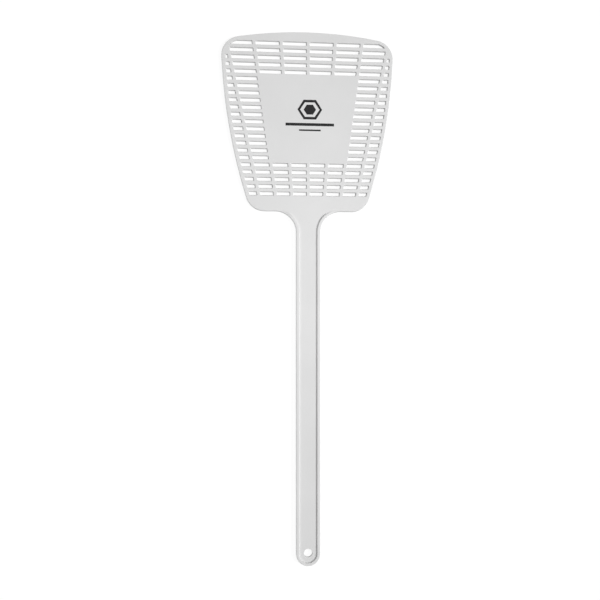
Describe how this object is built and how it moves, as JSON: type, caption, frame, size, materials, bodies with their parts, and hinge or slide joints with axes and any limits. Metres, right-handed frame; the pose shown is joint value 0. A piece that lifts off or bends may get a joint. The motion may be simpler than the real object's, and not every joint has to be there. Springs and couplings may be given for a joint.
{
  "type": "fly swatter",
  "caption": "Flat plastic fly swatter: slotted trapezoid head with a solid print panel, a flared neck and a slim railed handle with a hang hole.",
  "frame": {"origin": "centre of the outline, on the plane that the undersides of the handle's rails rest on", "axes": "+Z out of the printed face, +Y along the handle towards the head, +X to the right seen from the printed face"},
  "size_m": [0.136, 0.42, 0.0044],
  "materials": {
    "swatter_plastic": "fine satin moulded polypropylene",
    "print_ink": "thin flat pad-printed ink"
  },
  "bodies": {
    "grip": {"hang_tab": "swatter_plastic", "end_rail": "swatter_plastic", "grip_web": "swatter_plastic", "grip_left_rail": "swatter_plastic", "grip_right_rail": "swatter_plastic", "shank_flexure": "swatter_plastic"},
    "shank": {"shank_web": "swatter_plastic", "shank_left_rail": "swatter_plastic", "shank_right_rail": "swatter_plastic", "neck_flexure": "swatter_plastic"},
    "head": {"neck_flare": "swatter_plastic", "neck_left_rail": "swatter_plastic", "neck_right_rail": "swatter_plastic", "base_band": "swatter_plastic", "left_rim": "swatter_plastic", "right_rim": "swatter_plastic", "top_band": "swatter_plastic", "upper_lattice": "swatter_plastic", "left_lattice": "swatter_plastic", "right_lattice": "swatter_plastic", "lower_lattice": "swatter_plastic", "print_panel": "swatter_plastic", "printed_emblem": "print_ink", "printed_long_bar": "print_ink", "printed_short_bar": "print_ink"}
  },
  "joints": [
    {"name": "shank_flex", "type": "hinge", "parent": "grip", "child": "shank", "pos_m": [0, -0.065, 0.0022], "axis": [1, 0, 0], "range_deg": [-20, 20], "stiffness_Nm_per_rad": 0.64, "deforming": ["shank_flexure"]},
    {"name": "neck_flex", "type": "hinge", "parent": "shank", "child": "head", "pos_m": [0, 0.0415, 0.0022], "axis": [1, 0, 0], "range_deg": [-20, 20], "stiffness_Nm_per_rad": 0.64, "deforming": ["neck_flexure"]}
  ]
}
